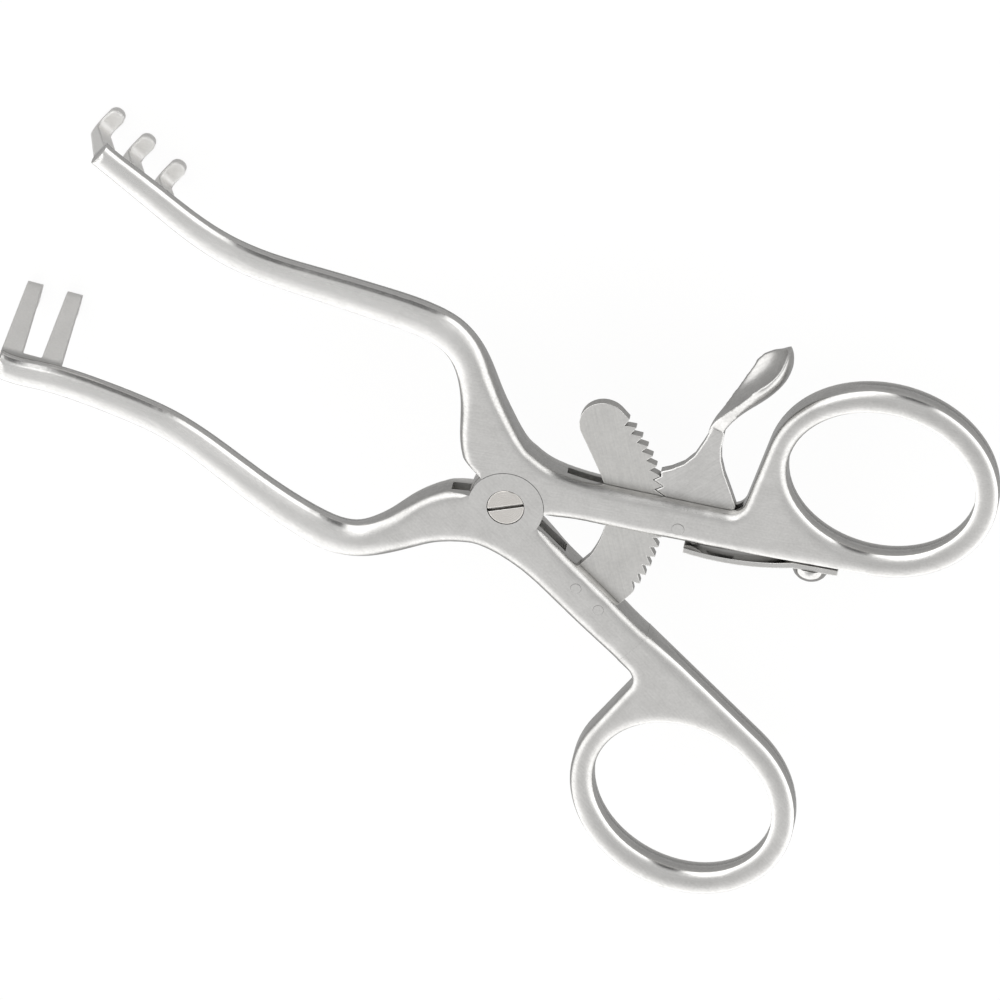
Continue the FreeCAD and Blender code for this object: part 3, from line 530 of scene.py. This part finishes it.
    def _crowned(
        self,
        tree: bpy.types.NodeTree,
        soft: bpy.types.NodeSocket,
        spot: bpy.types.NodeSocket,
        along: bpy.types.NodeSocket,
        blasted: bpy.types.NodeSocket,
    ) -> bpy.types.NodeSocket:
        """Normal with crowned flanks: they lean up above mid height and down below it.

        Args:
            tree: the material's node tree.
            soft: the normal rounded over the edges.
            spot: Object coordinates.
            along: the X coordinate, from the prongs to the rings.
            blasted: 1 on the bead blasted prongs, which are not crowned, 0 elsewhere.

        Returns:
            The normal's output.
        """
        height = add_node(tree, "ShaderNodeSeparateXYZ", {"Vector": spot}).outputs["Z"]
        arm_share = add_node(
            tree,
            "ShaderNodeMapRange",
            {
                "Value": along,
                "From Min": self.arm_start * MM,
                "From Max": (self.arm_start - self.blend) * MM,
                "To Max": self.crown_arm,
            },
        ).outputs["Result"]
        ring_share = add_node(
            tree,
            "ShaderNodeMapRange",
            {
                "Value": along,
                "From Min": (self.ring_start - self.blend) * MM,
                "From Max": self.ring_start * MM,
                "To Max": self.crown_ring,
            },
        ).outputs["Result"]
        share = add_node(
            tree, "ShaderNodeMath", {0: arm_share, 1: ring_share}, operation="ADD"
        ).outputs[0]
        kept = add_node(
            tree, "ShaderNodeMapRange", {"Value": blasted, "To Min": 1.0, "To Max": 0.0}
        ).outputs["Result"]
        share = add_node(
            tree, "ShaderNodeMath", {0: share, 1: kept}, operation="MULTIPLY"
        ).outputs[0]
        above = add_node(
            tree,
            "ShaderNodeMapRange",
            {
                "Value": height,
                "From Min": 0.0,
                "From Max": 2 * self.mid_height * MM,
                "To Min": -1.0,
                "To Max": 1.0,
            },
        ).outputs["Result"]
        lean = add_node(
            tree, "ShaderNodeMath", {0: above, 1: share}, operation="MULTIPLY"
        ).outputs[0]
        lift = add_node(tree, "ShaderNodeCombineXYZ", {"Z": lean}).outputs["Vector"]
        leaning = add_node(
            tree, "ShaderNodeVectorMath", {0: soft, 1: lift}, operation="ADD"
        ).outputs["Vector"]
        return add_node(
            tree, "ShaderNodeVectorMath", {0: leaning}, operation="NORMALIZE"
        ).outputs["Vector"]

    def _edge_wear_and_highlight(
        self, tree: bpy.types.NodeTree, rounded: bpy.types.NodeSocket
    ) -> bpy.types.NodeSocket:
        """How far a spot lies on a rounded edge, for wear and a painted highlight: from the angle
        between the true normal and one rounded over an edge.

        Args:
            tree: the material's node tree.
            rounded: the normal rounded over the edges.

        Returns:
            The share of wear and of painted highlight.
        """
        true = add_node(tree, "ShaderNodeNewGeometry").outputs["Normal"]
        match = add_node(
            tree, "ShaderNodeVectorMath", {0: true, 1: rounded}, operation="DOT_PRODUCT"
        ).outputs["Value"]
        return add_node(
            tree,
            "ShaderNodeMapRange",
            {
                "Value": match,
                "From Min": self.wear_and_highlight_from,
                "From Max": self.wear_and_highlight_to,
                "To Max": self.wear_and_highlight_share,
            },
        ).outputs["Result"]

    def _gloss(
        self,
        tree: bpy.types.NodeTree,
        flat: bpy.types.NodeSocket,
        tone: bpy.types.NodeSocket,
        wear_and_highlight: bpy.types.NodeSocket,
    ) -> bpy.types.NodeSocket:
        """Roughness: rounded or flat value, plus a share of the tone, less where edges wear.

        Args:
            tree: the material's node tree.
            flat: 1 on ground flats, 0 on rounds.
            tone: the tone from 0 to 1.
            wear_and_highlight: the share of wear.

        Returns:
            The roughness.
        """
        base = add_node(
            tree,
            "ShaderNodeMapRange",
            {"Value": flat, "To Min": self.round_roughness, "To Max": self.flat_roughness},
        ).outputs["Result"]
        spread = add_node(
            tree,
            "ShaderNodeMapRange",
            {
                "Value": tone,
                "To Min": self.roughness_spread / 2,
                "To Max": -self.roughness_spread / 2,
            },
        ).outputs["Result"]
        mixed = add_node(tree, "ShaderNodeMath", {0: base, 1: spread}, operation="ADD")
        eased = add_node(
            tree, "ShaderNodeMath", {0: wear_and_highlight, 1: -self.worn_polish}, operation="MULTIPLY"
        )
        return add_node(
            tree, "ShaderNodeMath", {0: mixed.outputs[0], 1: eased.outputs[0]}, operation="ADD"
        ).outputs[0]


# Forged from martensitic stainless steel bar, then bead blasted and brushed along the handle: a
# soft, even grey on the flats and brighter, smoother rounds.
UPPER_FORGING = SteelFinish(
    "forged_stainless_satin_upper",
    grain_angle=18.5,
    round_over=0.8,
    arm_round_over=2.2,
    ring_round_over=1.6,
    crown_arm=1.4,
    crown_ring=1.1,
    window_half=1.1,
    edge_gain=1.15,
    arm_gain=3.2,
    arm_light=0.3,
    # A longer reach spreads the painted shade onto the flank that faces the spring.
    crevice_reach=0.8,
    crisp_spots=((0.0, 0.0, 4.4), (17.8, 7.1, 1.1)),
    blasted_prongs=True,
)
LOWER_FORGING = SteelFinish(
    "forged_stainless_satin_lower",
    grain_angle=-23.0,
    round_over=1.0,
    arm_round_over=2.2,
    ring_round_over=1.6,
    crown_arm=1.4,
    crown_ring=1.1,
    ring_start=26.0,
    window_half=1.1,
    edge_gain=1.15,
    arm_gain=3.2,
    arm_light=0.3,
    crisp_spots=((0.0, 0.0, 4.4), (11.24, -5.15, 0.95), (14.59, -6.3, 0.95)),
    blasted_prongs=True,
)

# Blanked from hardened stainless sheet and surface ground: the flattest and most even face.
RATCHET_SHEET = SteelFinish(
    "ground_stainless_sheet",
    colour="#CECDCA",
    grain_angle=-52.0,
    round_roughness=0.4,
    mottle_size=2.6,
)

# The release lever's plate is ground like the bar, its thumb pad is polished to a soft sheen.
RELEASE_POLISH = SteelFinish(
    "buffed_stainless_release",
    grain_angle=62.0,
    round_roughness=0.3,
    roughness_spread=0.05,
    round_over=0.4,
)

# Turned and faced on a lathe: faint rings about the joint's axis, a slightly warmer grey.
TURNED_SCREW = SteelFinish(
    "turned_stainless_screw",
    colour="#D9D6D2",
    shade="#C1BDB8",
    grain=Grain.TURNED,
    grain_width=0.22,
    flat_roughness=0.3,
    # A longer reach paints shade into the screw's slot.
    crevice_reach=0.7,
)

# Peened and ground flush with the lever: the lever's own finish without its long grain.
FLUSH_PIN = SteelFinish(
    "ground_stainless_pin", grain=Grain.BLASTED, round_roughness=0.3, round_over=0.0
)

# Rolled spring strip with polished faces, and the small round head that holds it.
SPRING_STRIP = SteelFinish(
    "rolled_stainless_spring",
    flat_roughness=0.28,
    round_roughness=0.16,
    grain_angle=20.0,
    crevice_reach=0.12,
)
ROUND_HEAD = SteelFinish(
    "polished_stainless_round_head",
    grain=Grain.BLASTED,
    flat_roughness=0.16,
    round_roughness=0.1,
    roughness_spread=0.04,
)


@dataclass
class SteelPiece:
    """One piece of the instrument: a merged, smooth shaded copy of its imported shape."""

    node: str
    body: str
    slot: str
    finish: SteelFinish
    crease: float = 32.0
    merge: float = 0.0004

    def build(self, nodes: dict[str, bpy.types.Object]) -> bpy.types.Object:
        """Make the piece, dress it and let it ride on its body.

        Args:
            nodes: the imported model's objects by name.

        Returns:
            The new object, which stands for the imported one.
        """
        mesh = nodes[self.node].data.copy()
        mesh.name = f"{self.node}_steel"
        work = bmesh.new()
        work.from_mesh(mesh)
        bmesh.ops.remove_doubles(work, verts=work.verts, dist=self.merge * MM)
        bmesh.ops.dissolve_degenerate(work, edges=work.edges, dist=self.merge * MM)
        work.to_mesh(mesh)
        work.free()
        for name in ("custom_normal", "sharp_edge", "sharp_face"):
            layer = mesh.attributes.get(name)
            if layer:
                mesh.attributes.remove(layer)
        self._finish_by_hand(mesh)
        mesh.polygons.foreach_set("use_smooth", np.ones(len(mesh.polygons), dtype=bool))
        mesh.set_sharp_from_angle(angle=math.radians(self.crease))
        mesh.materials.clear()
        mesh.materials.append(self.finish.material())
        piece = bpy.data.objects.new(mesh.name, mesh)
        bpy.context.scene.collection.objects.link(piece)
        weighted = piece.modifiers.new("even_normals", "WEIGHTED_NORMAL")
        weighted.mode = "FACE_AREA"
        weighted.weight = 100
        weighted.keep_sharp = True
        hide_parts(self.node)
        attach(piece, self.body)
        LOG.info("%s: %d triangles on %s", piece.name, len(mesh.polygons), self.body)
        return piece

    def _finish_by_hand(self, mesh: bpy.types.Mesh) -> None:
        """Last small change to the shape. A plain piece has none."""

    @staticmethod
    def _places(mesh: bpy.types.Mesh) -> np.ndarray:
        """Read the points of a mesh.

        Args:
            mesh: the mesh to read.

        Returns:
            Rows of x, y and z in millimetres.
        """
        flat = np.empty(len(mesh.vertices) * 3)
        mesh.vertices.foreach_get("co", flat)
        return flat.reshape(-1, 3) / MM

    @staticmethod
    def _put(mesh: bpy.types.Mesh, places: np.ndarray) -> None:
        """Write points in millimetres back to a mesh."""
        mesh.vertices.foreach_set("co", (places * MM).ravel())
        mesh.update()


@dataclass
class UpperLever(SteelPiece):
    """The upper lever, with the file mark between handle and ring polished away."""

    mark_point: tuple[float, float] = (20.126, 9.795)
    mark_normal: tuple[float, float] = (0.9577, 0.2875)
    mark_ends: tuple[float, float] = (6.2, 10.8)
    mark_depth: float = 0.034
    mark_half_width: float = 0.01

    def _finish_by_hand(self, mesh: bpy.types.Mesh) -> None:
        """Merge the points on both sides of the mark, which lies on a straight line.

        Args:
            mesh: the piece's merged mesh.
        """
        places = self._places(mesh)
        off_line = (places[:, :2] - self.mark_point) @ np.array(self.mark_normal)
        low, high = self.mark_ends
        between_ends = (places[:, 1] > low) & (places[:, 1] < high)
        on_mark = (np.abs(off_line) < self.mark_half_width) & between_ends
        work = bmesh.new()
        work.from_mesh(mesh)
        work.verts.ensure_lookup_table()
        chosen = [work.verts[index] for index in np.flatnonzero(on_mark)]
        bmesh.ops.remove_doubles(work, verts=chosen, dist=self.mark_depth * MM)
        work.to_mesh(mesh)
        work.free()


@dataclass
class ReleaseLever(SteelPiece):
    """The release lever, with a polished thumb pad and a pawl that shows its clearance."""

    pawl_end: float = 14.6
    pawl_clearance: float = 0.08
    pawl_fade: float = 0.4
    pad_start: float = 20.5
    pad_full: float = 25.0
    pad_share: float = 0.2
    tip_start: float = 28.0
    tip_full: float = 31.0
    buffing_strokes: int = 60
    stroke_depth: float = 0.5
    halvings: int = 4
    longest_edge: float = 0.3

    def _finish_by_hand(self, mesh: bpy.types.Mesh) -> None:
        """Draw the pawl's teeth back from the bar and average the pad's points with neighbours.

        Each stroke moves a point half way to the mean of the points that it shares an edge with,
        times a share that is 0 on the plate, small on the pad and 1 at its tip.

        Args:
            mesh: the piece's merged mesh.
        """
        self._divide_long_edges(mesh)
        places = self._places(mesh)
        back = np.clip((self.pawl_end - places[:, 0]) / self.pawl_fade, 0.0, 1.0)
        places[:, 0] += self.pawl_clearance * back
        reach = places[:, 1]
        on_pad = np.clip((reach - self.pad_start) / (self.pad_full - self.pad_start), 0.0, 1.0)
        on_tip = np.clip((reach - self.tip_start) / (self.tip_full - self.tip_start), 0.0, 1.0)
        share = (self.pad_share * on_pad + (1 - self.pad_share) * on_tip)[:, None]
        ends = np.empty(len(mesh.edges) * 2, dtype=np.int64)
        mesh.edges.foreach_get("vertices", ends)
        ends = ends.reshape(-1, 2)
        count = np.bincount(ends.ravel(), minlength=len(places))[:, None]
        for _ in range(self.buffing_strokes):
            total = np.zeros_like(places)
            np.add.at(total, ends[:, 0], places[ends[:, 1]])
            np.add.at(total, ends[:, 1], places[ends[:, 0]])
            places += self.stroke_depth * share * (total / count - places)
        self._put(mesh, places)

    def _divide_long_edges(self, mesh: bpy.types.Mesh) -> None:
        """Halve the pad's long edges until its triangles are small enough to buff evenly.

        Args:
            mesh: the piece's merged mesh.
        """
        for _ in range(self.halvings):
            places = self._places(mesh)
            ends = np.empty(len(mesh.edges) * 2, dtype=np.int64)
            mesh.edges.foreach_get("vertices", ends)
            ends = ends.reshape(-1, 2)
            length = np.linalg.norm(places[ends[:, 0]] - places[ends[:, 1]], axis=1)
            on_pad = places[ends, 1].max(axis=1) > self.pad_start
            work = bmesh.new()
            work.from_mesh(mesh)
            work.edges.ensure_lookup_table()
            chosen = [
                work.edges[index]
                for index in np.flatnonzero(on_pad & (length > self.longest_edge))
            ]
            bmesh.ops.subdivide_edges(work, edges=chosen, cuts=1)
            bmesh.ops.triangulate(work, faces=work.faces)
            work.to_mesh(mesh)
            work.free()


@dataclass
class ThreeProngSide:
    """The upper lever with its tongue, and the pin, spring and screw fixed to it."""

    body: str = "three_prong_side"

    def build(self, nodes: dict[str, bpy.types.Object]) -> list[bpy.types.Object]:
        """Make every piece of this side.

        Args:
            nodes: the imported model's objects by name.

        Returns:
            The new objects.
        """
        pieces = [
            UpperLever("three_prong_lever", self.body, "lever_steel", UPPER_FORGING),
            SteelPiece("release_lever_pin", self.body, "pin_steel", FLUSH_PIN),
            SteelPiece("leaf_spring", self.body, "spring_steel", SPRING_STRIP),
            SteelPiece("spring_screw", self.body, "screw_steel", ROUND_HEAD, crease=40.0),
        ]
        return [piece.build(nodes) for piece in pieces]


@dataclass
class TwoProngSide:
    """The lower lever with its cheeks, and the ratchet bar, rivets and joint screw on it."""

    body: str = "two_prong_side"

    def build(self, nodes: dict[str, bpy.types.Object]) -> list[bpy.types.Object]:
        """Make every piece of this side.

        Args:
            nodes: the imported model's objects by name.

        Returns:
            The new objects.
        """
        pieces = [
            SteelPiece("two_prong_lever", self.body, "lever_steel", LOWER_FORGING),
            SteelPiece("ratchet_bar", self.body, "ratchet_steel", RATCHET_SHEET, crease=20.0),
            SteelPiece("ratchet_pins", self.body, "pin_steel", FLUSH_PIN),
            SteelPiece("pivot_screw", self.body, "screw_steel", TURNED_SCREW),
        ]
        return [piece.build(nodes) for piece in pieces]


@dataclass
class ReleaseSide:
    """The sprung lever whose pawl holds the ratchet bar."""

    body: str = "release"

    def build(self, nodes: dict[str, bpy.types.Object]) -> list[bpy.types.Object]:
        """Make the release lever."""
        lever = ReleaseLever("release_lever", self.body, "release_steel", RELEASE_POLISH)
        return [lever.build(nodes)]


@dataclass
class LightTent:
    """A white tent round the instrument, open where the camera stands, on a pale floor.

    Directions are azimuths about Z from +X in degrees, and levels are radiances, where 1 shows as
    white. wall_foot to gap_gone_above are heights on the unit sphere, the sine of the elevation.
    """

    floor_size: float = 40.0
    floor_level: float = -0.0117
    floor_colour: str = "#F2F1EF"
    # How bright metal sees the floor: a painted shade for the instrument's shadow on it.
    floor_seen_by_metal: float = 0.42
    shadow_share: float = 0.1
    wall_level: float = 1.85
    roof_level: float = 0.76
    low_level: float = 0.5
    gap_level: float = 0.16
    wall_foot: float = 0.12
    wall_top: float = 0.66
    roof_start: float = 0.86
    gap_full_below: float = 0.7
    gap_gone_above: float = 0.9
    gap_azimuth: float = 95.0
    gap_core: float = 8.0
    gap_edge: float = 19.0
    key_place: Vector = field(default_factory=lambda: Vector((-0.35, 0.25, 0.6)))
    key_size: float = 0.35
    key_power: float = 0.5

    def build(self) -> None:
        """Make the floor, the world and the key lamp."""
        self._floor()
        self._world()
        self._key_lamp()

    def _floor(self) -> None:
        """A plain pale square under the instrument."""
        half = self.floor_size / 2
        corners = np.array([(-1, -1), (1, -1), (1, 1), (-1, 1)]) * half
        heights = np.full((4, 1), self.floor_level)
        mesh = bpy.data.meshes.new("floor")
        mesh.from_pydata(np.hstack([corners, heights]).tolist(), [], [(0, 1, 2, 3)])
        mesh.materials.append(self._floor_material())
        floor = bpy.data.objects.new("floor", mesh)
        bpy.context.scene.collection.objects.link(floor)

    def _floor_material(self) -> bpy.types.Material:
        """Matt paper that the camera sees as white, with a share of its real shading. Metal sees it
        as a dimmer glow, a painted shade for the instrument's shadow on it.

        Returns:
            The material.
        """
        made = bpy.data.materials.new("matt_paper_floor")
        made.use_nodes = True
        tree = made.node_tree
        tree.nodes.clear()
        paper = add_node(tree, "ShaderNodeBsdfDiffuse", {"Color": linear(self.floor_colour)})
        path = add_node(tree, "ShaderNodeLightPath")
        mirrored = add_node(
            tree,
            "ShaderNodeMath",
            {0: path.outputs["Is Glossy Ray"], 1: path.outputs["Is Transmission Ray"]},
            operation="MAXIMUM",
        )
        # Painted shade: metal and glass see the floor glow dimmer, in place of the instrument's
        # shadow.
        level = add_node(
            tree,
            "ShaderNodeMapRange",
            {"Value": mirrored.outputs[0], "To Min": 1.0, "To Max": self.floor_seen_by_metal},
        )
        white = add_node(
            tree, "ShaderNodeEmission", {"Color": (1, 1, 1, 1), "Strength": level.outputs["Result"]}
        )
        seen = add_node(
            tree,
            "ShaderNodeMath",
            {0: path.outputs["Is Camera Ray"], 1: mirrored.outputs[0]},
            operation="MAXIMUM",
        )
        share = add_node(
            tree,
            "ShaderNodeMath",
            {0: seen.outputs[0], 1: 1 - self.shadow_share},
            operation="MULTIPLY",
        )
        mixed = add_node(
            tree,
            "ShaderNodeMixShader",
            {0: share.outputs[0], 1: paper.outputs["BSDF"], 2: white.outputs["Emission"]},
        )
        add_node(tree, "ShaderNodeOutputMaterial", {"Surface": mixed.outputs["Shader"]})
        return made

    def _world(self) -> None:
        """The tent: bright walls, a dimmer roof, and a dark gap from the floor up to the roof."""
        world = bpy.data.worlds.new("light_tent")
        bpy.context.scene.world = world
        world.use_nodes = True
        tree = world.node_tree
        tree.nodes.clear()
        heading = add_node(tree, "ShaderNodeTexCoord").outputs["Generated"]
        height = add_node(tree, "ShaderNodeSeparateXYZ", {"Vector": heading}).outputs["Z"]
        walls = add_node(tree, "ShaderNodeValToRGB", {"Fac": height})
        ramp = walls.color_ramp
        ramp.interpolation = "EASE"
        stops = (
            (0.0, self.low_level),
            (self.wall_foot, self.wall_level),
            (self.wall_top, self.wall_level),
            (self.roof_start, self.roof_level),
        )
        while len(ramp.elements) < len(stops):
            ramp.elements.new(1.0)
        for element, (where, level) in zip(ramp.elements, stops):
            element.position = where
            element.color = (level, level, level, 1.0)
        level_way = add_node(
            tree, "ShaderNodeVectorMath", {0: heading, 1: (1.0, 1.0, 0.0)}, operation="MULTIPLY"
        )
        flat_way = add_node(
            tree, "ShaderNodeVectorMath", {0: level_way.outputs["Vector"]}, operation="NORMALIZE"
        )
        toward = math.radians(self.gap_azimuth)
        match = add_node(
            tree,
            "ShaderNodeVectorMath",
            {0: flat_way.outputs["Vector"], 1: (math.cos(toward), math.sin(toward), 0.0)},
            operation="DOT_PRODUCT",
        )
        gap = add_node(
            tree,
            "ShaderNodeMapRange",
            {
                "Value": match.outputs["Value"],
                "From Min": math.cos(math.radians(self.gap_edge)),
                "From Max": math.cos(math.radians(self.gap_core)),
            },
            interpolation_type="SMOOTHSTEP",
        )
        below_roof = add_node(
            tree,
            "ShaderNodeMapRange",
            {
                "Value": height,
                "From Min": self.gap_gone_above,
                "From Max": self.gap_full_below,
            },
            interpolation_type="SMOOTHSTEP",
        )
        opening = add_node(
            tree,
            "ShaderNodeMath",
            {0: gap.outputs["Result"], 1: below_roof.outputs["Result"]},
            operation="MULTIPLY",
        )
        dark = (self.gap_level,) * 3 + (1.0,)
        tent = add_node(
            tree,
            "ShaderNodeMix",
            {"Factor": opening.outputs[0], 6: walls.outputs["Color"], 7: dark},
            data_type="RGBA",
        )
        seen = add_node(tree, "ShaderNodeLightPath").outputs["Is Camera Ray"]
        shown = add_node(
            tree,
            "ShaderNodeMix",
            {"Factor": seen, 6: tent.outputs[2], 7: (1.0, 1.0, 1.0, 1.0)},
            data_type="RGBA",
        )
        sky = add_node(tree, "ShaderNodeBackground", {"Color": shown.outputs[2], "Strength": 1.0})
        add_node(tree, "ShaderNodeOutputWorld", {"Surface": sky.outputs["Background"]})

    def _key_lamp(self) -> None:
        """A soft square lamp from the upper left, which gives the floor its faint shadow."""
        lamp = bpy.data.lights.new("key_lamp", "AREA")
        lamp.shape = "SQUARE"
        lamp.size = self.key_size
        lamp.energy = self.key_power
        holder = bpy.data.objects.new("key_lamp", lamp)
        bpy.context.scene.collection.objects.link(holder)
        holder.location = self.key_place
        holder.rotation_euler = self.key_place.to_track_quat("Z", "Y").to_euler()
        holder.visible_camera = False


@dataclass
class ProductCamera:
    """The photograph's viewpoint: high on the +Y side, turned so that the prongs point left.

    The three directions are the picture's right, its top and the way from the instrument to the
    camera. A very long lens keeps the perspective as slight as in the photograph. The lens and
    the sensor are in millimetres, nearest and farthest are shares of the camera's distance.
    """

    right: Vector = field(default_factory=lambda: Vector((0.8899, 0.4389, -0.1235)))
    top: Vector = field(default_factory=lambda: Vector((-0.4431, 0.7688, -0.4609)))
    toward: Vector = field(default_factory=lambda: Vector((-0.1074, 0.4649, 0.8787)))
    joint_face: float = 4.2 * MM
    shift_right: float = -0.5225 * MM
    shift_top: float = 0.8085 * MM
    view_width: float = 110.0 * MM
    lens: float = 900.0
    sensor: float = 36.0
    nearest: float = 0.05
    farthest: float = 20.0

    def build(self) -> bpy.types.Object:
        """Make the camera and use it.

        Returns:
            The camera object.
        """
        data = bpy.data.cameras.new("product_camera")
        data.lens = self.lens
        data.sensor_width = self.sensor
        away = self.view_width * self.lens / self.sensor
        data.clip_start = away * self.nearest
        data.clip_end = away * self.farthest
        camera = bpy.data.objects.new("product_camera", data)
        bpy.context.scene.collection.objects.link(camera)
        middle = Vector((0, 0, self.joint_face))
        middle += self.right * self.shift_right + self.top * self.shift_top
        axes = Matrix((self.right, self.top, self.toward)).transposed().to_4x4()
        camera.matrix_world = Matrix.Translation(middle + self.toward * away) @ axes
        bpy.context.scene.camera = camera
        return camera


def main() -> None:
    """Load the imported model, dress every piece and set up the studio."""
    logging.basicConfig(level=logging.INFO, format="%(name)s: %(message)s")
    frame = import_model()
    bpy.context.scene.view_settings.view_transform = "Standard"
    for side in (ThreeProngSide(), TwoProngSide(), ReleaseSide()):
        side.build(frame["nodes"])
    LightTent().build()
    ProductCamera().build()


if __name__ == "__main__":
    main()
